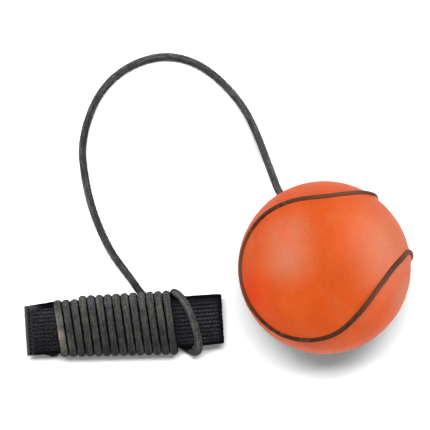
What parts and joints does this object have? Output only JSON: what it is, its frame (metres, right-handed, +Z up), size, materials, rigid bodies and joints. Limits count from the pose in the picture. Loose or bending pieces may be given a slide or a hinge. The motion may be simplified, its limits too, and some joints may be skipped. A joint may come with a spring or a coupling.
{
  "type": "hurling practice ball",
  "caption": "Hollow rubber practice ball with a raised seam rib, tethered by an elastic cord whose spare length is wound round a folded elastic wrist strap, so the ball springs back.",
  "frame": {"origin": "bottom centre of the ball and the strap, on the surface they lie on", "axes": "+X from the strap towards the ball, +Y towards the cord's free arch, +Z up"},
  "size_m": [0.157, 0.1247, 0.0689],
  "materials": {
    "ball_rubber": "satin",
    "rib_rubber": "matte",
    "washer": "matte",
    "cord": "braided, matte",
    "wound_cord": "braided, worn",
    "knot_cord": "braided, matte",
    "webbing": "ribbed weave, matte"
  },
  "bodies": {
    "strap": {"wrist_strap": "webbing", "cord_winding": "wound_cord", "cord_loose_turn": "wound_cord", "strap_end_knot": "knot_cord", "cord_arch": "cord"},
    "cord_end": {"stopper_washer": "washer", "ball_end_knot": "cord"},
    "ball": {"ball_cord_half": "ball_rubber", "ball_plain_half": "ball_rubber", "seam_rib": "rib_rubber"}
  },
  "joints": [
    {"name": "cord_stretch", "type": "slide", "parent": "strap", "child": "cord_end", "axis": [1, 0, 0], "range_m": [0, 0.25], "stiffness_N_per_m": 12, "deforming": ["cord_arch"]},
    {"name": "ball_spin", "type": "hinge", "parent": "cord_end", "child": "ball", "pos_m": [0.0432, 0.00115, 0.03443], "axis": [-0.4532, 0.7849, -0.4226], "continuous": true}
  ]
}
